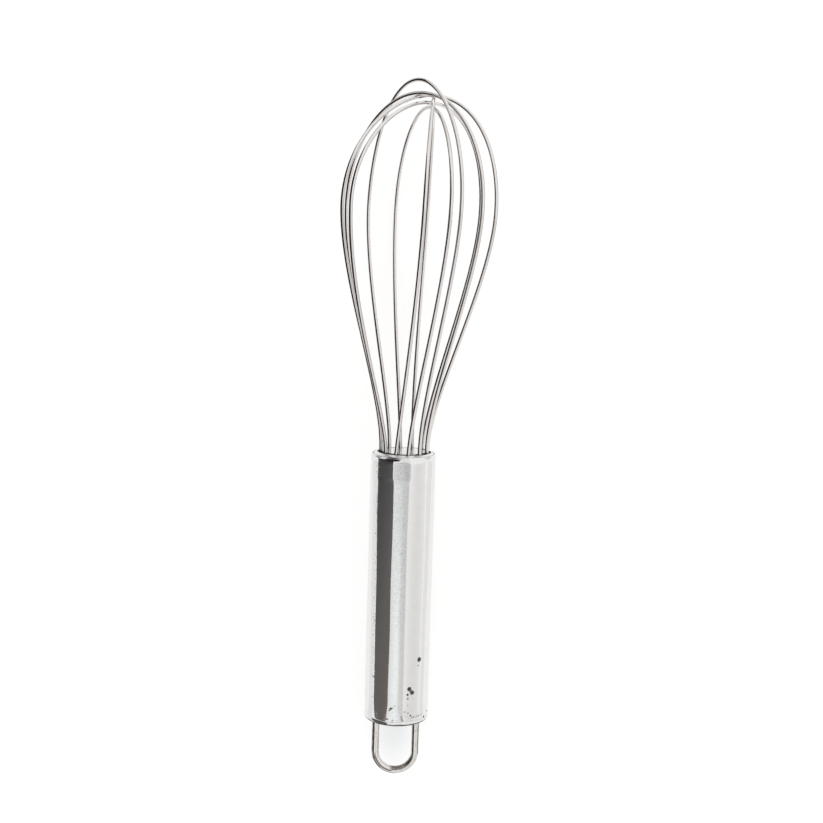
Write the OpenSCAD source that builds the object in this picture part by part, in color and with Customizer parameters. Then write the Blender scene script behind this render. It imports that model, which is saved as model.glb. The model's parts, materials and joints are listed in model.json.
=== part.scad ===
// Balloon whisk with a sealed tube handle, six crossing wires and a hanging loop.
// It lies on its side as it does on a worktop: the handle runs along Y, the cage points to +Y,
// and the rim of the end cap and the lowest wires touch the plane Z = 0.
// Each piece is first made upright, with the mouth of the handle at z = 0, and then laid down.

/* [Handle] */
// Outside diameter of the handle
handle_d = 23.5; // [23:0.1:28]
// Length of the handle from mouth to end face
handle_l = 98.5; // [80:0.5:130]
// Wall thickness of the tube and the end cap
wall = 0.8; // [0.5:0.1:1.2]
// Rounding of the mouth's rolled lip
lip_r = 1.5; // [1:0.1:1.5]
// Radius of the opening inside the lip
mouth_r = 9.7; // [9.65:0.05:9.9]
// Rounding of the end cap
edge_r = 0.9; // [0.5:0.1:1.4]
// Height of the end cap's rim below the seam
cap_rim = 1.7; // [1.5:0.1:4]

/* [Wires] */
// Diameter of the cage wire
wire_d = 1.35; // [0.8:0.05:1.35]
// Radius of the circle of holes that the wires leave by
ring_r = 8.5; // [8.2:0.05:8.9]
// Radius of the cage at its widest
belly_r = 29.9; // [25:0.1:36]
// Height of the widest place above the mouth
belly_h = 87; // [70:0.5:100]
// Sideways offset of the wires at the mouth
cage_shift = 0.3; // [0:0.1:0.5]
// Radius to which the whole cage is bent over towards +X
bend_r = 2400; // [1500:50:9000]
// How deep the straight wire tails reach into the handle
tail_l = 45; // [30:1:60]

/* [Hanging loop] */
// Diameter of the loop's wire
loop_wire_d = 2.7; // [2:0.1:3]
// Outside width of the loop
loop_w = 17.3; // [14:0.1:18]
// How far the loop stands out of the end face
loop_reach = 22.1; // [16:0.1:30]

/* [Hidden] */
$fn = 96;

// One row per wire, from the outermost at the tip to the innermost: the two holes' angles,
// the two angles at which its legs pass the widest place, its highest point (x, y, z), and how
// much later than usual each leg swells, as a share of belly_h.
WIRES = [
    [130, 310, 125.0, 301.0, [-2.4,  0.0, 130.6], [ 0.00, 0]],
    [160, 340, 146.3, 319.5, [-0.6, -0.8, 126.2], [ 0.00, 0]],
    [190,  10, 214.7, 338.0, [ 4.3,  1.8, 125.8], [ 0.03, 0]],
    [250,  70, 276.0,  81.0, [ 3.8,  0.0, 124.4], [ 0.00, 0]],
    [220,  40, 224.1,  37.5, [ 3.7, -1.3, 123.0], [-0.04, 0]],
    [100, 280, 104.0, 293.5, [ 2.1, -0.1, 121.5], [ 0.00, 0]]
];
hole_step = 30;      // angle between neighbouring wire holes
first_hole = 10;     // angle of the first wire hole
rise_low = 0.206;    // how long a leg keeps its direction at the mouth, as a share of belly_h
rise_high = 0.31;    // the same at the widest place
leg_steps = 22;
crown_steps = 34;
wire_sides = 10;

gap = 0.05;                        // clearance of the inner pieces
handle_r = handle_d / 2;
bore_r = handle_r - wall;
hole_r = wire_d / 2 + gap;
hub_r = ring_r - wire_d / 2 - 0.1; // round face inside the ring of wires
hub_rise = 0.4;                    // how far that face stands out of the mouth
flange_top = -1.5;                 // drilled flange of the guide plug
flange_t = 2;
resin_top = flange_top - flange_t;
resin_l = 27;
plate_t = 1.6;
spigot_r = bore_r - gap;           // part of the end cap inside the tube
spigot_l = 8;
loop_tail = 6;                     // part of the loop's legs inside the end cap
loop_r = (loop_w - loop_wire_d) / 2;
loop_leg = loop_reach - loop_w / 2;
weld_r = 1;
rest_tilt = 5.8;                   // the handle axis climbs to the cage at this angle
lay_x = -3;                        // place of the mouth's centre when the whisk lies down
lay_y = -5.4;
lay_z = (handle_l - edge_r) * sin(rest_tilt) + (handle_r - edge_r) * cos(rest_tilt) + edge_r;

module lay_down() {
    translate([lay_x, lay_y, lay_z]) rotate([rest_tilt - 90, 0, 0]) children();
}

module ring_of_holes(depth) {
    translate([cage_shift, 0, 0])
        for (i = [0 : 11])
            rotate(first_hole + hole_step * i)
                translate([ring_r, 0, -depth]) cylinder(r = hole_r, h = 2 * depth, $fn = 24);
}

// Half section of an end with a rounded outer corner: a face from inner_r outwards at the top,
// and a side wall from side_r to handle_r that reaches down by length.
module rounded_end(inner_r, side_r, length, corner_r) {
    difference() {
        union() {
            translate([inner_r, -wall]) square([handle_r - corner_r - inner_r, wall]);
            translate([side_r, -length]) square([handle_r - side_r, length - corner_r]);
            translate([handle_r - corner_r, -corner_r]) circle(r = corner_r);
        }
        translate([side_r - 2 * corner_r, -wall - 2 * corner_r]) square(2 * corner_r);
    }
}

module handle_tube() {
    color([0.80, 0.81, 0.82])
        lay_down() difference() {
            rotate_extrude()
                rounded_end(mouth_r - 2 * cage_shift, bore_r, handle_l - cap_rim, lip_r);
            translate([cage_shift, 0, -lip_r]) cylinder(r = mouth_r, h = 2 * lip_r);
        }
}

module end_cap() {
    color([0.78, 0.78, 0.78])
        lay_down() translate([0, 0, -handle_l]) difference() {
            union() {
                mirror([0, 0, 1])
                    rotate_extrude() rounded_end(0, spigot_r - wall, cap_rim, edge_r);
                translate([0, 0, cap_rim - wall]) difference() {
                    cylinder(r = spigot_r, h = wall + spigot_l);
                    cylinder(r = spigot_r - wall, h = 2 * spigot_l);
                }
            }
            for (side = [-1, 1])
                translate([side * loop_r, 0, -wall])
                    cylinder(d = loop_wire_d, h = 3 * wall, $fn = 48);
        }
}

module hanging_loop() {
    color([0.72, 0.73, 0.74])
        lay_down() translate([0, 0, -handle_l]) {
            for (side = [-1, 1])
                translate([side * loop_r, 0, -loop_leg])
                    cylinder(d = loop_wire_d, h = loop_leg + loop_tail, $fn = 48);
            translate([0, 0, -loop_leg]) rotate([-90, 0, 0]) rotate_extrude(angle = 180)
                translate([loop_r, 0]) circle(d = loop_wire_d, $fn = 48);
        }
}

// Fillets where the loop's legs come through the end cap on the inside.
module loop_welds() {
    color([0.55, 0.54, 0.52])
        lay_down() for (side = [-1, 1])
            translate([side * loop_r, 0, wall - handle_l]) rotate_extrude($fn = 48)
                translate([loop_wire_d / 2, 0]) polygon([[0, 0], [weld_r, 0], [0, weld_r]]);
}

module guide_plug() {
    color([0.86, 0.86, 0.85])
        lay_down() difference() {
            union() {
                translate([cage_shift, 0, resin_top]) cylinder(r = hub_r, h = hub_rise - resin_top);
                translate([0, 0, resin_top]) cylinder(r = bore_r - gap, h = flange_t);
            }
            ring_of_holes(-2 * resin_top);
        }
}

module resin_seal() {
    color([0.62, 0.58, 0.48])
        lay_down() difference() {
            translate([0, 0, resin_top - resin_l]) cylinder(r = bore_r - gap, h = resin_l);
            ring_of_holes(2 * resin_l);
        }
}

module tail_plate() {
    color([0.70, 0.70, 0.70])
        lay_down() difference() {
            translate([0, 0, 1 - tail_l]) cylinder(r = bore_r - gap, h = plate_t);
            ring_of_holes(2 * tail_l);
        }
}

// A cubic from a to d that leaves a towards b and reaches d from c.
function cubic(a, b, c, d, t) =
    a * pow(1 - t, 3) + 3 * b * t * pow(1 - t, 2) + 3 * c * t * t * (1 - t) + d * pow(t, 3);

// A leg swells from its hole to belly_r in the direction belly, while its sideways offset dies out.
function leg_point(hole, belly, late, t) =
    let (
        out = ring_r * cos(hole - belly),
        side = ring_r * sin(hole - belly),
        r = cubic(out, out, belly_r, belly_r, t),
        z = cubic(0, belly_h * (rise_low + late), belly_h * (1 - rise_high + late), belly_h, t),
        left = 1 - z / belly_h,
        q = side * left * left
    )
    [r * cos(belly) - q * sin(belly) + cage_shift * left, r * sin(belly) + q * cos(belly), z];

// The crown is half an ellipse from one belly point to the other through the highest point.
function crown_point(from, to, top, a) =
    let (mid = (from + to) / 2, p = top + (to - from) / 2 * sin(a) + (mid - top) * pow(sin(a), 2))
    [p[0], p[1], from[2] + (top[2] - from[2]) * cos(a)];

// The cage as a whole is bent over to one side.
function bent(p) =
    let (a = p[2] / bend_r * 180 / PI)
    p[2] <= 0 ? p : [bend_r - (bend_r - p[0]) * cos(a), p[1], (bend_r - p[0]) * sin(a)];

function wire_path(w) =
    let (
        leg_a = [for (i = [0 : leg_steps]) leg_point(w[0], w[2], w[5][0], i / leg_steps)],
        leg_b = [for (i = [0 : leg_steps]) leg_point(w[1], w[3], w[5][1], 1 - i / leg_steps)],
        crown = [
            for (i = [1 : crown_steps - 1])
                crown_point(leg_a[leg_steps], leg_b[0], w[4], -90 + 180 * i / crown_steps)
        ],
        foot = [0, 0, -tail_l],
        whole = concat([leg_a[0] + foot], leg_a, crown, leg_b, [leg_b[leg_steps] + foot])
    )
    [for (p = whole) bent(p)];

function unit(v) = v / norm(v);

// A round bar swept along a path; across is a direction that no part of the path follows.
module swept_bar(path, across) {
    last = len(path) - 1;
    rings = [
        for (i = [0 : last])
            let (
                along = unit(path[min(i + 1, last)] - path[max(i - 1, 0)]),
                u = unit(across - (across * along) * along),
                v = cross(along, u)
            )
            for (k = [0 : wire_sides - 1])
                path[i] + wire_d / 2 * (u * cos(360 * k / wire_sides) + v * sin(360 * k / wire_sides))
    ];
    skin = [
        for (i = [0 : last - 1], k = [0 : wire_sides - 1])
            let (a = i * wire_sides, b = a + wire_sides, n = (k + 1) % wire_sides)
            each [[a + k, b + k, b + n], [a + k, b + n, a + n]]
    ];
    ends = [
        [for (k = [0 : wire_sides - 1]) k],
        [for (k = [wire_sides - 1 : -1 : 0]) last * wire_sides + k]
    ];
    polyhedron(points = rings, faces = concat(skin, ends), convexity = 8);
}

module cage_wire(number) {
    w = WIRES[number - 1];
    path = wire_path(w);
    chord = path[leg_steps + crown_steps + 1] - path[leg_steps + 1];
    color([0.66, 0.67, 0.68]) lay_down() swept_bar(path, unit([-chord[1], chord[0], 0]));
}

handle_tube();
end_cap();
hanging_loop();
loop_welds();
guide_plug();
resin_seal();
tail_plate();
cage_wire(1);  // wire_1
cage_wire(2);  // wire_2
cage_wire(3);  // wire_3
cage_wire(4);  // wire_4
cage_wire(5);  // wire_5
cage_wire(6);  // wire_6
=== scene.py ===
import json
import math

import bpy
from mathutils import Matrix, Vector


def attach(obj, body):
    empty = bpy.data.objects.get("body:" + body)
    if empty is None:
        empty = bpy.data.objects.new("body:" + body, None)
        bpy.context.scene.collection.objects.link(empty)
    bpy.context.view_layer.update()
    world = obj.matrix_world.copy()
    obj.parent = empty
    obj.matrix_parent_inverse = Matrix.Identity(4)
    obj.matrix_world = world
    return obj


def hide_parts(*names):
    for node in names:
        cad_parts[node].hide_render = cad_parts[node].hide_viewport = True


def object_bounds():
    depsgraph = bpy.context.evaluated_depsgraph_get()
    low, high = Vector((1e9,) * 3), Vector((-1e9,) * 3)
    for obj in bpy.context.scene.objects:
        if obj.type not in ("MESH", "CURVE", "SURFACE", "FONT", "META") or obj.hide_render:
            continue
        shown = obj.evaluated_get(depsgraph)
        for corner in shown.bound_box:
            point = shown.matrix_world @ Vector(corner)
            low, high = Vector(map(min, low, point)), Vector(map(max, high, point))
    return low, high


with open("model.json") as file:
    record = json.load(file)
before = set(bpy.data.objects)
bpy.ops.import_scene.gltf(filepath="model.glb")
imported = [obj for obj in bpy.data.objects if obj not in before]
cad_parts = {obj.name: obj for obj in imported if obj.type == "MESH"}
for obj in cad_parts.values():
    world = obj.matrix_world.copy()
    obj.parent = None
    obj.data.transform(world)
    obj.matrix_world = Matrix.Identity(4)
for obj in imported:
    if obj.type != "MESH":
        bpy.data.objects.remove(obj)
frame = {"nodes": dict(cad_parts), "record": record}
cad_low, cad_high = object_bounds()
nodes = frame["nodes"]
MM = 0.001
TAU = 2 * math.pi


# ---------------------------------------------------------------- where things are

def mount(name):
    return next(m for m in frame["record"]["mounts"] if m["name"] == name)


grip = mount("grip")
UP = -Vector(grip["axis"]).normalized()          # from the end cap to the mouth
AXIS_POINT = Vector(grip["pos_m"])


def span(node):
    """Lowest and highest place of a node along the handle axis, measured from the grip point."""
    places = [(v.co - AXIS_POINT).dot(UP) for v in nodes[node].data.vertices]
    return min(places), max(places)


tube_low, tube_high = span("handle_tube")
cap_low = span("end_cap")[0]
MOUTH = AXIS_POINT + UP * tube_high
SIDE = Vector((1, 0, 0))
DOWN = UP.cross(SIDE)
# The whisk's own frame: x across, y towards the worktop, z along the handle, 0 at the mouth.
LAID = Matrix((SIDE, DOWN, UP)).transposed().to_4x4()
LAID.translation = MOUTH

HANDLE_R = grip["dims"]["r_mm"] * MM
HANDLE_L = tube_high - cap_low
SEAM = tube_high - tube_low
LOOP_END = tube_high - span("hanging_loop")[0]
TAIL = tube_high - span("wire_1")[0]


# ---------------------------------------------------------------- mesh helpers

def piece(name, points, faces, look, replaced, slot):
    """Adds a mesh given in the whisk's own frame, to be shown instead of the CAD nodes it replaces."""
    mesh = bpy.data.meshes.new(name)
    mesh.from_pydata([LAID @ Vector(p) for p in points], [], faces)
    mesh.validate()
    mesh.update()
    mesh.polygons.foreach_set("use_smooth", [True] * len(mesh.polygons))
    obj = bpy.data.objects.new(name, mesh)
    bpy.context.scene.collection.objects.link(obj)
    mesh.materials.append(look)
    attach(obj, "root")
    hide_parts(*replaced)


def ring_faces(rings, sides, closed=False):
    """Faces between neighbouring rings of points, and from the last ring to the first if closed."""
    faces = []
    for i in range(rings if closed else rings - 1):
        a, b = i * sides, (i + 1) % rings * sides
        for k in range(sides):
            n = (k + 1) % sides
            faces.append((a + k, a + n, b + n, b + k))
    return faces


def end_faces(rings, sides):
    """Flat faces across the first and the last ring."""
    return [tuple(range(sides - 1, -1, -1)), tuple((rings - 1) * sides + k for k in range(sides))]


def lathe(profile, sides, wobble=None, closed=True):
    """Turns a profile of (radius, height, sideways shift) round z. It runs anticlockwise.

    An open profile starts and ends on a flat face across the axis.
    """
    points = []
    for r, z, shift in profile:
        for k in range(sides):
            a = TAU * k / sides
            grow = wobble(a, z) if wobble else 0
            points.append(((r + grow) * math.cos(a) + shift, (r + grow) * math.sin(a), z))
    faces = ring_faces(len(profile), sides, closed)
    return points, faces if closed else faces + end_faces(len(profile), sides)


def sweep(path, radius, sides, across):
    """A round bar along a path, with a flat face at each end."""
    points, last = [], len(path) - 1
    for i, p in enumerate(path):
        along = (path[min(i + 1, last)] - path[max(i - 1, 0)]).normalized()
        u = (across - across.dot(along) * along).normalized()
        v = along.cross(u)
        for k in range(sides):
            a = TAU * k / sides
            points.append(p + radius * (u * math.cos(a) + v * math.sin(a)))
    return points, ring_faces(last + 1, sides) + end_faces(last + 1, sides)


def arc(cx, cz, r, start, end, steps, shift=0.0):
    """Outline points along an arc round (cx, cz), between two angles in degrees."""
    return [(cx + r * math.cos(math.radians(start + (end - start) * i / steps)),
             cz + r * math.sin(math.radians(start + (end - start) * i / steps)), shift)
            for i in range(steps + 1)]


def bends(r, z, turns):
    """An outline that starts at (r, z) facing outwards and turns along arcs: (radius, from, to, steps)."""
    points = [(r, z, 0.0)]
    for size, start, end, steps in turns:
        r, z, _ = points[-1]
        a = math.radians(start)
        points += arc(r - size * math.cos(a), z - size * math.sin(a), size, start, end, steps)[1:]
    return points


# ---------------------------------------------------------------- node helpers

class Nodes:
    """Short ways to add and join shader nodes in one tree."""

    def __init__(self, tree):
        self.tree = tree

    def add(self, kind, inputs=(), **settings):
        n = self.tree.nodes.new(kind)
        for k, v in settings.items():
            setattr(n, k, v)
        for k, v in dict(inputs).items():
            self.put(n.inputs[k], v)
        return n

    def put(self, socket, value):
        """Feeds a socket from another socket, from a node's first output or from a plain value."""
        if isinstance(value, bpy.types.NodeSocket):
            self.tree.links.new(value, socket)
        elif isinstance(value, bpy.types.Node):
            self.tree.links.new(value.outputs[0], socket)
        else:
            socket.default_value = value

    def math(self, operation, a, b=0.0, c=0.0, clamp=False):
        n = self.add("ShaderNodeMath", operation=operation, use_clamp=clamp)
        for i, v in enumerate((a, b, c)):
            self.put(n.inputs[i], v)
        return n.outputs[0]

    def vector(self, operation, a, b=(0, 0, 0)):
        n = self.add("ShaderNodeVectorMath", operation=operation)
        self.put(n.inputs[0], a)
        self.put(n.inputs[1], b)
        return n.outputs["Value"] if operation in ("LENGTH", "DISTANCE", "DOT_PRODUCT") else n.outputs[0]

    def remap(self, value, low, high, to_low=0.0, to_high=1.0, smooth=True):
        n = self.add("ShaderNodeMapRange", interpolation_type="SMOOTHSTEP" if smooth else "LINEAR")
        for i, v in enumerate((value, low, high, to_low, to_high)):
            self.put(n.inputs[i], v)
        return n.outputs[0]

    def mix(self, factor, a, b):
        n = self.add("ShaderNodeMix", data_type="RGBA")
        self.put(n.inputs["Factor"], factor)
        self.put(n.inputs[6], a)
        self.put(n.inputs[7], b)
        return n.outputs[2]

    def ramp(self, value, stops):
        n = self.add("ShaderNodeValToRGB")
        self.put(n.inputs[0], value)
        elements = n.color_ramp.elements
        while len(elements) > 1:
            elements.remove(elements[-1])
        elements[0].position, elements[0].color = stops[0][0], (*stops[0][1], 1)
        for place, colour in stops[1:]:
            elements.new(place).color = (*colour, 1)
        return n.outputs[0]

    def noise(self, vector, scale, detail=2.0, roughness=0.5):
        return self.add("ShaderNodeTexNoise", {"Vector": vector, "Scale": scale, "Detail": detail,
                                               "Roughness": roughness})

    def bump(self, height, strength, distance):
        return self.add("ShaderNodeBump", {"Height": height, "Strength": strength, "Distance": distance})

    def scaled(self, vector, factor):
        return self.add("ShaderNodeVectorMath", {0: vector, "Scale": factor}, operation="SCALE").outputs[0]

    def stretched(self, vector, across, along):
        """Own coordinates for a pattern that is drawn out along the handle."""
        return self.add("ShaderNodeMapping", {"Vector": vector, "Scale": (across, across, along)})

    def parts(self, name):
        """X, Y and Z of one kind of texture coordinate."""
        at = self.add("ShaderNodeTexCoord").outputs[name]
        return self.add("ShaderNodeSeparateXYZ", {"Vector": at}).outputs

    def distance(self, a, b):
        """How far (a, b) is from (0, 0)."""
        return self.math("SQRT", self.math("ADD", self.math("MULTIPLY", a, a), self.math("MULTIPLY", b, b)))

    def line(self, value, place, inner, outer, strength=1.0):
        """A soft line: full strength where value is within inner of place, and gone at outer."""
        off = self.math("ABSOLUTE", self.math("SUBTRACT", value, place))
        return self.remap(off, inner, outer, strength, 0.0)


def material(name):
    m = bpy.data.materials.new(name)
    m.use_nodes = True
    shader = m.node_tree.nodes["Principled BSDF"]
    return m, Nodes(m.node_tree), shader


def source(shader, name):
    """What already feeds one of the shader's inputs."""
    return shader.inputs[name].links[0].from_socket


def own_frame(n):
    """The whisk's own coordinates in millimetres: the vector, then its x, y and z sockets."""
    at = n.add("ShaderNodeTexCoord").outputs["Object"]
    turn = LAID.inverted()
    move = n.add("ShaderNodeMapping", {"Vector": at, "Rotation": tuple(turn.to_euler()),
                                       "Location": tuple(turn.translation / MM),
                                       "Scale": (1 / MM,) * 3})
    return move.outputs[0], *n.add("ShaderNodeSeparateXYZ", {"Vector": move}).outputs


# ---------------------------------------------------------------- materials

def steel(name, colour, roughness, spread):
    """Polished steel: handling marks change its roughness, and a low bump makes reflections waver."""
    m, n, shader = material(name)
    shader.inputs["Metallic"].default_value = 1.0
    own = own_frame(n)
    cloud = n.noise(own[0], 0.35, 3, 0.6)
    fine = n.noise(n.stretched(own[0], 3.0, 0.5), 1.0, 2, 0.6)
    marks = n.math("ADD", cloud, n.math("MULTIPLY", fine, 0.5))
    n.put(shader.inputs["Roughness"], n.remap(marks, 0.5, 1.0, roughness, roughness + spread))
    darker = [c * 0.97 for c in colour]
    n.put(shader.inputs["Base Color"], n.mix(n.remap(cloud, 0.3, 0.7), (*darker, 1), (*colour, 1)))
    n.put(shader.inputs["Normal"], n.bump(fine, 0.05, 0.02 * MM))
    return m, n, shader, own


# Grime and pits on the handle: (angle from the top towards +X in degrees, place along the handle
# from the mouth in mm, radius in mm, strength).
MARKS = [
    (42, -74.0, 0.85, 1.0), (40, -76.1, 0.30, 0.8),
    (23, -84.4, 0.75, 1.0), (29, -85.9, 0.80, 1.0), (20, -86.5, 0.45, 1.0), (26, -85.2, 0.55, 0.9),
    (21, -88.0, 0.32, 0.8), (21, -90.5, 0.22, 0.6),
    (-9, -91.7, 0.42, 1.0), (-11, -92.3, 0.28, 0.9), (-5, -91.5, 0.20, 0.8), (-2, -90.6, 0.25, 0.4),
    (10, -94.6, 0.40, 0.45), (11, -95.4, 0.45, 0.5), (12, -96.1, 0.45, 0.5),
    (74, -95.1, 0.50, 0.7), (60, -96.5, 0.50, 1.0),
    (16, -92.9, 0.28, 0.6), (22, -93.4, 0.28, 0.7), (27, -94.4, 0.34, 0.9), (30, -95.2, 0.40, 0.5),
    (35, -95.3, 0.32, 0.7), (40, -95.3, 0.30, 0.6), (45, -95.2, 0.34, 0.7), (51, -94.9, 0.30, 0.5),
    (-15, -95.8, 0.35, 0.8), (-5, -96.1, 0.35, 0.5), (-36, -94.4, 0.25, 0.6),
    (-46, -81.0, 0.35, 0.6), (2, -34.5, 0.25, 0.5), (-52, -6.1, 0.25, 0.6), (-50, -52.0, 0.22, 0.5),
]
# Where the painted dark lines run, in millimetres: painted shade in the lip's groove, grime and painted
# reflection on the cap's rim, painted reflections on the loop.
LIP_GROOVE_R = 10.95      # circle of the fine groove in the lip
LIP_SKEW = 0.013          # that circle's radius grows by this much of x
RIM_LINE_DEPTH = 98.02         # from the mouth down to the line of grime and painted dark reflection on the cap's rounded rim
BEND_MIDDLE = 8.65        # from the loop's end up to the middle of its bend
INNER_REACH, MIDDLE_REACH, OUTER_REACH = 7.25, 7.4, 8.28
# Painted dark reflections along the straight legs of the loop: (x, width, strength).
LEG_LINES = [(8.40, 0.32, 0.95), (-6.05, 0.34, 0.7), (-8.22, 0.50, 1.0), (6.5, 0.42, 0.95)]

# The handle's colour for grime and specks, also used as painted shade in the lip's groove.
GRIME_AND_GROOVE_SHADE = (0.035, 0.026, 0.02, 1)
# Grime and painted dark reflection for the line on the cap's rim.
RIM_GRIME_AND_REFLECTION = (0.045, 0.036, 0.032, 1)
# Spots of dirt and painted dark reflections on the hanging loop.
LOOP_SPOTS_AND_REFLECTIONS = (0.13, 0.10, 0.085, 1)
LOOP_FILM = (0.47, 0.47, 0.43, 1)
# Painted dark reflection on the -X side of the cage wires.
WIRE_PAINTED_DARK_SIDE = (0.08, 0.056, 0.049, 1)


def tube_steel():
    m, n, shader, (place, x, y, z) = steel("tube_steel", (0.81, 0.81, 0.807), 0.04, 0.04)
    # Unrolled surface: how far round from the top and how far along, in millimetres.
    turn = n.math("ARCTAN2", x, n.math("MULTIPLY", y, -1.0))
    round_mm = n.math("MULTIPLY", turn, HANDLE_R / MM)
    flat = n.add("ShaderNodeCombineXYZ", {"X": round_mm, "Y": z}).outputs[0]
    # Each place is moved about a little, so that the marks have ragged outlines.
    ragged = n.noise(place, 1.6, 3, 0.6)
    shift = n.scaled(n.vector("SUBTRACT", ragged.outputs["Color"], (0.5, 0.5, 0.5)), 0.9)
    near = n.vector("MULTIPLY", n.vector("ADD", flat, shift), (1, 1, 0))
    grime = 0.0
    for angle, along, radius, strength in MARKS:
        centre = (math.radians(angle) * HANDLE_R / MM, along, 0)
        spot = n.remap(n.vector("DISTANCE", near, centre), radius * 0.75, radius * 1.3, strength, 0.0)
        grime = n.math("MAXIMUM", spot, grime)
    # Sparse specks, most of them along the left side and near the cap.
    side = n.line(turn, -0.86, 0.02, 0.10)
    foot = n.remap(z, -96, -90, 0.6, 0.0)
    speck = n.remap(n.noise(place, 2.2, 1), 0.62, 0.68)
    specks = n.math("MULTIPLY", speck, n.math("MAXIMUM", side, foot))
    dark_mask = n.math("MAXIMUM", grime, n.math("MULTIPLY", specks, 0.6))
    # Painted shade in the fine groove of the lip, thickest at the two sides.
    from_groove = n.math("SUBTRACT", n.distance(x, y), LIP_GROOVE_R)
    ring = n.line(from_groove, n.math("MULTIPLY", x, LIP_SKEW), 0.06, 0.16)
    sides = n.remap(n.math("ABSOLUTE", turn), 0.6, 1.4, 0.55, 1.0)
    ring = n.math("MULTIPLY", n.math("MULTIPLY", ring, n.remap(z, -1.2, -1.0)), sides)
    dark_mask = n.math("MAXIMUM", dark_mask, ring)
    # A mottled strip along the top, fainter towards the cap and a little darker at the mouth.
    strip = n.math("MULTIPLY", n.remap(turn, -0.30, -0.22), n.remap(turn, 0.17, 0.24, 1.0, 0.0))
    mottle = n.noise(n.stretched(place, 1.0, 0.7), 2.1, 2, 0.8)
    shade = n.math("MULTIPLY", n.remap(mottle, 0.3, 0.7, -0.12, 0.07), n.remap(z, -75, -50, 0.35, 1.0))
    above = n.math("MULTIPLY", n.remap(z, -8.6, -8.2), -0.10)
    tone = n.math("MULTIPLY_ADD", n.math("ADD", shade, above), strip, 1.0)
    mottled = n.scaled(source(shader, "Base Color"), tone)
    n.put(shader.inputs["Base Color"], n.mix(dark_mask, mottled, GRIME_AND_GROOVE_SHADE))
    satin = n.math("MAXIMUM", n.math("MULTIPLY", dark_mask, 0.6), n.remap(z, -1.3, -0.9, 0.0, 0.3))
    n.put(shader.inputs["Roughness"], n.math("MAXIMUM", source(shader, "Roughness"), satin))
    n.put(shader.inputs["Metallic"], n.math("SUBTRACT", 1.0, dark_mask, clamp=True))
    bump = n.bump(dark_mask, 0.4, 0.05 * MM)
    n.put(bump.inputs["Normal"], source(shader, "Normal"))
    n.put(shader.inputs["Normal"], bump)
    return m


def darken_and_dull(m, n, shader, dark_mask, colour):
    """Darkens and dulls a steel material where the mask is white."""
    n.put(shader.inputs["Base Color"], n.mix(dark_mask, source(shader, "Base Color"), colour))
    dull = n.math("MULTIPLY", dark_mask, 0.3)
    n.put(shader.inputs["Roughness"], n.math("MAXIMUM", source(shader, "Roughness"), dull))
    return m


def cap_steel():
    m, n, shader, (place, x, y, z) = steel("cap_steel", (0.80, 0.80, 0.797), 0.05, 0.06)
    # A patchy, slightly wavering line of grime and painted dark reflection along the rounded rim.
    waver = n.remap(n.noise(place, 0.5), 0.3, 0.7, 0.06, -0.06, smooth=False)
    line = n.line(n.math("ADD", z, RIM_LINE_DEPTH), waver, 0.22, 0.42)
    patchy = n.remap(n.noise(place, 0.9), 0.35, 0.6, 0.75, 1.0)
    outside = n.remap(n.distance(x, y), 11.0, 11.2)
    return darken_and_dull(m, n, shader, n.math("MULTIPLY", n.math("MULTIPLY", line, patchy), outside), RIM_GRIME_AND_REFLECTION)


def loop_steel():
    m, n, shader, (place, x, _, z) = steel("loop_steel", (0.80, 0.79, 0.77), 0.06, 0.08)
    end = -LOOP_END / MM
    # A dull greenish film in streaks.
    streak = n.noise(n.stretched(place, 2.2, 0.5), 1.0, 3, 0.6)
    film = n.math("MULTIPLY", n.remap(streak, 0.45, 0.65), 0.55)
    n.put(shader.inputs["Base Color"], n.mix(film, source(shader, "Base Color"), LOOP_FILM))
    # A painted dark brown reflection on the inside of the bend, towards +X.
    reach = n.distance(x, n.math("SUBTRACT", z, end + BEND_MIDDLE))
    inner = n.remap(reach, INNER_REACH, INNER_REACH - 0.35)
    right = n.math("MULTIPLY", n.remap(z, end + 9.0, end + 5.0), n.remap(x, -2.2, -0.6))
    dark_reflection = n.math("MULTIPLY", n.math("MULTIPLY", inner, right), n.remap(streak, 0.25, 0.5, 0.6, 0.85))
    # Two thin painted dark reflections round the bend: along its middle towards -X, and along its outside.
    middle = n.math("MULTIPLY", n.line(reach, MIDDLE_REACH, 0.14, 0.34, 0.95), n.remap(x, -0.4, -1.6))
    outside = n.line(reach, OUTER_REACH, 0.12, 0.32, n.remap(x, 2.0, -2.0, 0.3, 1.0))
    lower = n.remap(z, end + 9.0, end + 6.0)
    dark_reflection = n.math("MAXIMUM", dark_reflection, n.math("MULTIPLY", n.math("MAXIMUM", middle, outside), lower))
    # Painted dark reflections along the straight legs, and a few spots of dirt.
    edge_reflection = 0.0
    for line_x, width, strength in LEG_LINES:
        edge_reflection = n.math("MAXIMUM", n.line(x, line_x, width * 0.4, width, strength), edge_reflection)
    edge_reflection = n.math("MULTIPLY", edge_reflection, n.remap(streak, 0.35, 0.55, 0.6, 1.0))
    edge_reflection = n.math("MULTIPLY", edge_reflection, n.remap(z, end + 6.0, end + 9.0))
    spots = n.remap(n.noise(place, 1.3, 2, 0.6), 0.66, 0.72, 0.0, 0.8)
    return darken_and_dull(m, n, shader, n.math("MAXIMUM", n.math("MAXIMUM", dark_reflection, edge_reflection), spots), LOOP_SPOTS_AND_REFLECTIONS)


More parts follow.
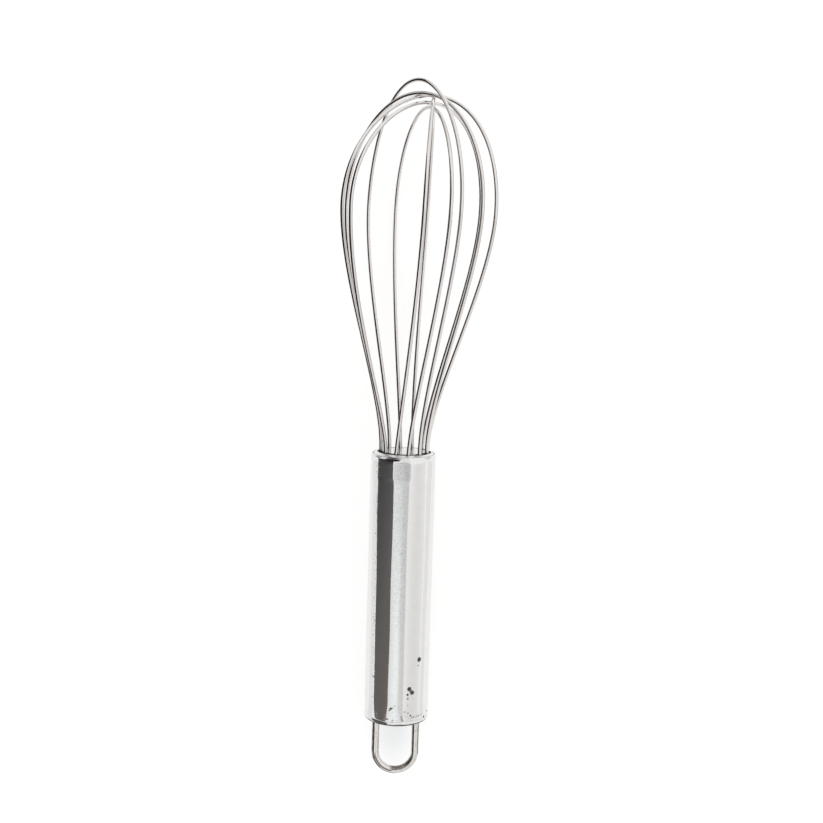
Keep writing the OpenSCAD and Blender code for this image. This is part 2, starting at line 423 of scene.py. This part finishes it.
def wire_steel():
    m, n, shader, (place, _, _, z) = steel("wire_steel", (0.785, 0.76, 0.745), 0.04, 0.04)
    # A painted dark reflection along the -X side of the lower legs, and a fainter one on the crowns.
    facing = n.remap(n.parts("Normal")[0], -0.08, -0.32)
    height = n.math("MAXIMUM", n.remap(z, 90, 25, 0.12, 1.0), n.remap(z, 100, 112, 0.0, 0.4))
    broken = n.remap(n.noise(n.stretched(place, 1.0, 0.3), 0.8), 0.3, 0.6, 0.8, 1.0)
    return darken_and_dull(m, n, shader, n.math("MULTIPLY", n.math("MULTIPLY", facing, height), broken), WIRE_PAINTED_DARK_SIDE)


def resin():
    m, n, shader = material("resin")
    cloud = n.noise(own_frame(n)[0], 0.25, 4, 0.6)
    n.put(shader.inputs["Base Color"], n.ramp(cloud, [(0.3, (0.34, 0.27, 0.15)), (0.7, (0.52, 0.44, 0.28))]))
    n.put(shader.inputs["Roughness"], n.remap(cloud, 0.3, 0.7, 0.30, 0.5))
    shader.inputs["Subsurface Weight"].default_value = 0.1
    n.put(shader.inputs["Normal"], n.bump(cloud, 0.3, 0.1 * MM))
    return m


tube_material = tube_steel()
cap_material = cap_steel()
loop_material = loop_steel()
wire_material = wire_steel()
plug_material = steel("plug_steel", (0.80, 0.80, 0.79), 0.18, 0.10)[0]
plate_material = steel("plate_steel", (0.70, 0.70, 0.70), 0.30, 0.12)[0]
weld_material = steel("weld_steel", (0.50, 0.46, 0.42), 0.35, 0.2)[0]
resin_material = resin()

for name, look in (("loop_welds", weld_material), ("guide_plug", plug_material),
                   ("resin_seal", resin_material), ("tail_plate", plate_material)):
    nodes[name].data.materials.clear()
    nodes[name].data.materials.append(look)


# ---------------------------------------------------------------- handle

SIDES = 256
WALL = 0.8 * MM
BORE = HANDLE_R - WALL
GROOVE = 0.12 * MM        # depth of the seam between tube and cap
STEP_Z = 8.4 * MM         # a faint rolled line runs round the tube this far below the mouth
SHIFT = 0.3 * MM          # the ring of wires stands this far off the handle's axis
LIP_R = 9.65 * MM         # opening inside the rolled lip
LIP_DROP = 2.60 * MM      # where the lip starts to round over, below the mouth
LIP_TOP = 0.28 * MM       # how far the lip rises above the mouth
FLANK_IN, FLANK_UP, FLANK_ANGLE = 0.34 * MM, 0.667 * MM, 27
CORNER_R = 0.16 * MM
# The lip leans towards the ring of wires, more so the nearer it comes to the opening.
CORNER_SHIFT, GROOVE_SHIFT, RISE_SHIFT = 0.1 * MM, 0.15 * MM, 0.2 * MM
# Radius, and height over the end of the corner, in millimetres: first the groove, then the rise.
GROOVE_POINTS = [(10.93, -0.10), (10.85, -0.02), (10.78, 0.04)]
RISE_POINT = (10.4, 0.22)


def lip_outline():
    """Two soft arcs, a straight flank, a tight corner, a fine groove and a top that rises to the opening."""
    lip = bends(HANDLE_R, -LIP_DROP, [(6.4 * MM, 0, 13, 6), (0.5 * MM, 13, FLANK_ANGLE, 3)])
    foot_r, foot_z, _ = lip[-1]
    lip += [(foot_r - FLANK_IN * k / 3, foot_z + FLANK_UP * k / 3, CORNER_SHIFT * k / 3) for k in (1, 2)]
    slope = math.radians(FLANK_ANGLE)
    lip += arc(foot_r - FLANK_IN - CORNER_R * math.cos(slope), foot_z + FLANK_UP - CORNER_R * math.sin(slope),
               CORNER_R, FLANK_ANGLE, 95, 5, CORNER_SHIFT)
    corner_z = lip[-1][1]
    lip += [(r * MM, corner_z + h * MM, GROOVE_SHIFT) for r, h in GROOVE_POINTS]
    return lip + [(RISE_POINT[0] * MM, corner_z + RISE_POINT[1] * MM, RISE_SHIFT)]


# Waves round the tube: (depth in mm, how many round it, length along it in mm, offset).
WAVES = [(0.016, 3, 9, 0.0), (0.012, 5, -14, 1.3), (0.008, 8, 6, 0.4)]
CRIMP_L = 8 * MM          # the tube is pressed onto the cap over this length
STEP_ANGLE = -112         # degrees; the rolled line stands out most here, and every 45 degrees from it


def dents(a, z):
    """The tube is not quite true: long shallow waves, the crimp at the cap and the rolled line."""
    fade = min(1.0, max(0.0, (-z - 2 * MM) / (6 * MM)))
    wave = sum(depth * math.sin(count * a + z / (length * MM) + offset)
               for depth, count, length, offset in WAVES)
    foot = max(0.0, (-z - SEAM + CRIMP_L) / CRIMP_L)
    crimp = -0.08 * foot * foot + 0.13 * foot * foot * math.sin(9 * a + 0.5)
    step = 0.07 / (1 + math.exp(-(z + STEP_Z) / (0.18 * MM)))
    ease = min(1.0, max(0.0, (-z - 1.2 * MM) / (1.5 * MM)))
    return (wave * fade + crimp + step * ease * math.cos(8 * (a - math.radians(STEP_ANGLE)))) * MM


TUBE_RINGS, BORE_RINGS = 260, 12
TOP_EDGE, UNDER_EDGE = 0.15 * MM, 0.2 * MM
tube_profile = (
    [(HANDLE_R - GROOVE, -SEAM, 0.0), (HANDLE_R - 0.03 * MM, -SEAM + 0.05 * MM, 0.0)]
    + [(HANDLE_R, -LIP_DROP - (SEAM - LIP_DROP) * (1 - k / TUBE_RINGS) * 0.998, 0.0)
       for k in range(TUBE_RINGS)]
    + lip_outline()
    + arc(LIP_R + TOP_EDGE, LIP_TOP - TOP_EDGE, TOP_EDGE, 60, 180, 5, SHIFT)
    + arc(LIP_R + UNDER_EDGE, -WALL + UNDER_EDGE, UNDER_EDGE, 180, 270, 4, SHIFT)
    + [(BORE - 0.2 * MM, -WALL - 0.05 * MM, 0.0), (BORE, -WALL - 0.3 * MM, 0.0)]
    + [(BORE, -SEAM * k / BORE_RINGS, 0.0) for k in range(1, BORE_RINGS + 1)]
)
piece("tube_shell", *lathe(tube_profile, SIDES, dents), tube_material, ["handle_tube"], "polished_tube")


# ---------------------------------------------------------------- end cap

CAP_RINGS = 8
CAP_R = HANDLE_R - 0.1 * MM
CAP_EDGE = 0.9 * MM       # the cap's rounded edge
CAP_SEAM = -SEAM - 0.01 * MM
SPIGOT_R = BORE - 0.15 * MM
SPIGOT_TOP = -HANDLE_L + 10 * MM
cap_profile = (
    [((HANDLE_R - CAP_EDGE) * k / CAP_RINGS, -HANDLE_L, 0.0) for k in range(1, CAP_RINGS)]
    + arc(CAP_R - CAP_EDGE, -HANDLE_L + CAP_EDGE, CAP_EDGE, -90, 0, 12)
    + [(CAP_R, -SEAM - 0.08 * MM, 0.0), (CAP_R - GROOVE, CAP_SEAM, 0.0)]
    + [(SPIGOT_R, CAP_SEAM, 0.0), (SPIGOT_R, SPIGOT_TOP, 0.0)]
    + [(SPIGOT_R - WALL, SPIGOT_TOP, 0.0), (SPIGOT_R - WALL, -HANDLE_L + WALL, 0.0)]
)
piece("cap_shell", *lathe(cap_profile, SIDES, closed=False), cap_material, ["end_cap"], "polished_cap")


# ---------------------------------------------------------------- hanging loop

LOOP_WIRE_R = 1.35 * MM
LOOP_R = 7.3 * MM
LOOP_TAIL = 6 * MM        # length of each leg inside the cap
LOOP_LEG = LOOP_END - HANDLE_L - LOOP_R - LOOP_WIRE_R
LOOP_SIDES, STRAIGHT_STEPS, BEND_STEPS = 48, 24, 72


def loop_leg(x, i):
    """A place on a straight leg, from the bend (0) up to the weld inside the cap (STRAIGHT_STEPS)."""
    return Vector((x, 0, -HANDLE_L - LOOP_LEG + (LOOP_TAIL + LOOP_LEG) * i / STRAIGHT_STEPS))


def loop_bend(i):
    a = math.pi * i / BEND_STEPS
    return Vector((LOOP_R * math.cos(a), 0, -HANDLE_L - LOOP_LEG - LOOP_R * math.sin(a)))


loop_path = (
    [loop_leg(LOOP_R, i) for i in range(STRAIGHT_STEPS, 0, -1)]
    + [loop_bend(i) for i in range(BEND_STEPS + 1)]
    + [loop_leg(-LOOP_R, i) for i in range(1, STRAIGHT_STEPS + 1)]
)
piece("loop_bar", *sweep(loop_path, LOOP_WIRE_R, LOOP_SIDES, Vector((0, 1, 0))), loop_material,
      ["hanging_loop"], "loop_wire")


# ---------------------------------------------------------------- cage wires

# One row per wire: two hole angles, two angles at the widest place (in degrees), the highest point
# (in mm), and how much later than usual each leg swells, as a share of BELLY_H.
WIRES = [
    (130, 310, 125.0, 301.0, (-2.4, 0.0, 130.6), (0.0, 0.0)),
    (160, 340, 146.3, 319.5, (-0.6, -0.8, 126.2), (0.0, 0.0)),
    (190, 10, 214.7, 338.0, (4.3, 1.8, 125.8), (0.03, 0.0)),
    (250, 70, 276.0, 81.0, (3.8, 0.0, 124.4), (0.0, 0.0)),
    (220, 40, 224.1, 37.5, (3.7, -1.3, 123.0), (-0.04, 0.0)),
    (100, 280, 104.0, 293.5, (2.1, -0.1, 121.5), (0.0, 0.0)),
]
WIRE_R = 1.35 / 2 * MM
RING_R = 8.5 * MM         # circle of the holes in the guide plug
BELLY_R = 29.9 * MM
BELLY_H = 87 * MM         # from the mouth to the widest place
BEND_R = 2.4              # the whole cage curves a little, round a circle of this radius in metres
RISE_LOW, RISE_HIGH = 0.206, 0.31    # how straight a leg starts and ends, as shares of BELLY_H
WIRE_SIDES, TAIL_STEPS, LEG_STEPS, CROWN_STEPS = 20, 8, 70, 100


def cubic(a, b, c, d, t):
    """A Bezier curve's value between a (t = 0) and d (t = 1)."""
    return a * (1 - t) ** 3 + 3 * b * t * (1 - t) ** 2 + 3 * c * t * t * (1 - t) + d * t ** 3


def leg_point(hole, belly, late, t):
    """A leg swells from its hole to the widest place, while its sideways offset dies out."""
    turn, b = math.radians(hole - belly), math.radians(belly)
    out, side = RING_R * math.cos(turn), RING_R * math.sin(turn)
    r = cubic(out, out, BELLY_R, BELLY_R, t)
    z = cubic(0, BELLY_H * (RISE_LOW + late), BELLY_H * (1 - RISE_HIGH + late), BELLY_H, t)
    left = 1 - z / BELLY_H
    q = side * left * left
    return Vector((r * math.cos(b) - q * math.sin(b) + SHIFT * left, r * math.sin(b) + q * math.cos(b), z))


def crown_point(start, end, top, a):
    """Half an ellipse from one belly point to the other through the highest point."""
    mid, s = (start + end) / 2, math.sin(a)
    p = top + (end - start) / 2 * s + (mid - top) * s * s
    return Vector((p.x, p.y, start.z + (top.z - start.z) * math.cos(a)))


def bent(p):
    """Curves the cage towards +X, starting at the mouth."""
    if p.z <= 0:
        return p
    a = p.z / BEND_R
    return Vector((BEND_R - (BEND_R - p.x) * math.cos(a), p.y, (BEND_R - p.x) * math.sin(a)))


def wire_path(hole_a, hole_b, belly_a, belly_b, top, late):
    """One wire from tail to tail, and the level direction that its loop faces."""
    leg_a = [leg_point(hole_a, belly_a, late[0], i / LEG_STEPS) for i in range(LEG_STEPS + 1)]
    leg_b = [leg_point(hole_b, belly_b, late[1], 1 - i / LEG_STEPS) for i in range(LEG_STEPS + 1)]
    crown = [crown_point(leg_a[-1], leg_b[0], Vector(top) * MM, -math.pi / 2 + math.pi * i / CROWN_STEPS)
             for i in range(1, CROWN_STEPS)]
    drops = [Vector((0, 0, TAIL * i / TAIL_STEPS)) for i in range(1, TAIL_STEPS + 1)]
    tail_a = [leg_a[0] - drop for drop in reversed(drops)]
    tail_b = [leg_b[-1] - drop for drop in drops]
    chord = leg_b[0] - leg_a[-1]
    path = [bent(p) for p in tail_a + leg_a + crown + leg_b + tail_b]
    return path, Vector((-chord.y, chord.x, 0)).normalized()


for number, row in enumerate(WIRES, 1):
    path, across = wire_path(*row)
    piece(f"cage_wire_{number}", *sweep(path, WIRE_R, WIRE_SIDES, across), wire_material,
          [f"wire_{number}"], "cage_wire")


# ---------------------------------------------------------------- worktop, studio light and camera

FLOOR_HALF = 4.0
FLOOR_GAP = 0.00002       # keeps the worktop just clear of the lowest faces
SHADE_HALF = (0.012, 0.021)    # half width and half length of the shade under the loop


def floor():
    h = FLOOR_HALF
    mesh = bpy.data.meshes.new("worktop")
    mesh.from_pydata([(-h, -h, 0), (h, -h, 0), (h, h, 0), (-h, h, 0)], [], [(0, 1, 2, 3)])
    obj = bpy.data.objects.new("worktop", mesh)
    obj.location.z = cad_low.z - FLOOR_GAP
    bpy.context.scene.collection.objects.link(obj)
    m, n, shader = material("worktop_white")
    place = n.add("ShaderNodeTexCoord").outputs["Object"]
    cloud = n.noise(place, 3.0)
    n.put(shader.inputs["Base Color"], n.mix(cloud, (0.34, 0.335, 0.33, 1), (0.36, 0.355, 0.35, 1)))
    shader.inputs["Roughness"].default_value = 0.9
    shader.inputs["Specular IOR Level"].default_value = 0.0
    # The shade that gathers under the hanging loop, cool and very soft.
    middle = LAID @ Vector((-0.8 * MM, 0, -HANDLE_L - 7.5 * MM))
    offset = n.vector("SUBTRACT", place, (middle.x, middle.y, 0))
    spread = n.vector("LENGTH", n.vector("MULTIPLY", offset, (1 / SHADE_HALF[0], 1 / SHADE_HALF[1], 0)))
    shade = n.remap(spread, 0.0, 1.0, 1.0, 0.0)
    n.put(shader.inputs["Emission Color"], n.mix(shade, (0.99, 0.99, 0.99, 1), (0.77, 0.805, 0.805, 1)))
    shader.inputs["Emission Strength"].default_value = 0.725
    mesh.materials.append(m)


floor()

# What the polished surfaces mirror overhead, by the angle from straight up towards +X, in degrees:
# above the cage end and the mouth, and above the hanging end.
NEAR = [
    (-180, (1.0, 0.995, 0.99)), (-34, (0.90, 0.90, 0.905)), (-24, (0.90, 0.90, 0.905)),
    (-17, (0.86, 0.865, 0.87)), (-6, (0.78, 0.785, 0.79)), (6, (0.69, 0.70, 0.70)),
    (22, (0.66, 0.665, 0.665)), (24.5, (0.98, 0.975, 0.965)), (31, (0.97, 0.965, 0.95)),
    (41, (0.925, 0.915, 0.90)), (53, (0.87, 0.86, 0.845)), (67, (0.87, 0.86, 0.85)),
    (81, (0.92, 0.91, 0.905)), (92, (0.97, 0.965, 0.96)), (180, (1.0, 0.995, 0.99))]
FAR = [
    (-180, (1.0, 0.995, 0.99)), (-34, (0.80, 0.81, 0.82)), (-24, (0.93, 0.94, 0.945)),
    (-17, (0.99, 1.0, 1.01)), (-6, (1.07, 1.08, 1.08)), (2, (0.98, 0.985, 0.985)),
    (8, (0.78, 0.79, 0.785)), (22, (0.72, 0.725, 0.72)), (24.5, (0.98, 0.97, 0.955)),
    (31, (0.97, 0.96, 0.94)), (41, (0.90, 0.89, 0.87)), (53, (0.87, 0.86, 0.84)),
    (67, (0.86, 0.85, 0.835)), (81, (0.90, 0.89, 0.88)), (92, (1.0, 0.995, 0.99)),
    (180, (1.0, 0.995, 0.99))]
OPEN_SKY = (1.02, 1.02, 1.02, 1)


def studio():
    world = bpy.data.worlds.new("studio")
    bpy.context.scene.world = world
    world.use_nodes = True
    n = Nodes(world.node_tree)
    background = world.node_tree.nodes["Background"]
    output = world.node_tree.nodes["World Output"]
    x, y, z = n.parts("Generated")
    turn = n.math("MULTIPLY_ADD", n.math("ARCTAN2", x, z), 1 / TAU, 0.5)
    ramps = [n.ramp(turn, [(0.5 + angle / 360, colour) for angle, colour in stops]) for stops in (NEAR, FAR)]
    over_handle = n.mix(n.remap(y, -0.24, -0.42), *ramps)
    n.put(background.inputs["Color"], n.mix(n.remap(y, -0.155, -0.08), over_handle, OPEN_SKY))
    # The camera itself sees plain white.
    pale = n.add("ShaderNodeBackground", {"Color": (1.0, 1.0, 1.0, 1), "Strength": 1.0})
    seen = n.add("ShaderNodeLightPath").outputs["Is Camera Ray"]
    both = n.add("ShaderNodeMixShader", {0: seen, 1: background, 2: pale})
    n.put(output.inputs["Surface"], both)


studio()

# Cards the camera never sees, for polished metal to mirror. Standing ones: (x, y, foot, top) in metres.
FAR_CARDS = [
    (-0.14, -0.42, 0.0, 0.15), (-0.25, -0.42, 0.0, 0.20), (-0.25, -0.40, 0.025, 0.432),
    (-0.25, -0.20, 0.025, 0.432), (-0.25, -0.07, 0.0, 0.432), (-0.25, 0.05, 0.0, 0.432)]
CAGE_CARDS = [(-0.045, -0.002, 0.045, 0.24), (-0.045, 0.030, 0.045, 0.26), (-0.045, 0.031, 0.0, 0.26),
              (-0.045, 0.125, 0.0, 0.26)]
# Flat ones on the worktop: (left, right, near, far).
DARK_FLATS = [(-0.25, -0.06, 0.02, 0.22)]
GREY_FLATS = [(0.05, 0.25, 0.025, 0.16)]
PALE_FLATS = [(-0.24, -0.05, -0.40, -0.01), (0.05, 0.25, -0.40, -0.01)]
FLATS_Z = 0.0005


def card(name, points, faces, tone):
    """A glowing card that only reflections see, with its tone running along y."""
    mesh = bpy.data.meshes.new(name)
    mesh.from_pydata(points, [], faces)
    obj = bpy.data.objects.new(name, mesh)
    bpy.context.scene.collection.objects.link(obj)
    m, n, shader = material(name)
    along = n.remap(n.parts("Object")[1], -0.36, 0.04, smooth=False)
    n.put(shader.inputs["Emission Color"], n.ramp(along, tone))
    shader.inputs["Emission Strength"].default_value = 1.0
    shader.inputs["Base Color"].default_value = (0, 0, 0, 1)
    shader.inputs["Specular IOR Level"].default_value = 0.0
    mesh.materials.append(m)
    obj.visible_camera = False
    obj.visible_diffuse = False
    obj.visible_shadow = False


def standing(rows):
    """Upright cards joined into one screen."""
    points = [(x, y, h) for x, y, foot, top in rows for h in (foot, top)]
    return points, [(2 * i, 2 * i + 2, 2 * i + 3, 2 * i + 1) for i in range(len(rows) - 1)]


def lying(rows):
    """Separate flat cards, just above the worktop."""
    corners = [p for left, right, near, far in rows
               for p in ((left, near), (right, near), (right, far), (left, far))]
    return [(x, y, FLATS_Z) for x, y in corners], [tuple(range(4 * i, 4 * i + 4)) for i in range(len(rows))]


BLACK = (0.022, 0.016, 0.014)
card("far_cards", *standing(FAR_CARDS),
     [(0.0, (0.205, 0.164, 0.140)), (0.3, (0.155, 0.136, 0.124)), (0.5, (0.132, 0.127, 0.123)),
      (0.85, (0.050, 0.050, 0.053)), (1.0, (0.031, 0.031, 0.033))])
card("cage_cards", *standing(CAGE_CARDS), [(0.0, BLACK)])
card("dark_flats", *lying(DARK_FLATS), [(0.0, BLACK)])
card("grey_flats", *lying(GREY_FLATS), [(0.0, (0.26, 0.22, 0.21))])
card("pale_flats", *lying(PALE_FLATS), [(0.0, (0.93, 0.925, 0.92))])

camera = bpy.data.objects.new("camera", bpy.data.cameras.new("camera"))
bpy.context.scene.collection.objects.link(camera)
camera.location = (-0.00055, 0.0257, 0.511)
camera.rotation_euler = [math.radians(a) for a in (-1.929, 0.058, 1.709)]
camera.data.lens = 59.76
camera.data.sensor_width = 36
camera.data.clip_start, camera.data.clip_end = 0.01, 50
bpy.context.scene.camera = camera
bpy.context.scene.view_settings.view_transform = "Standard"
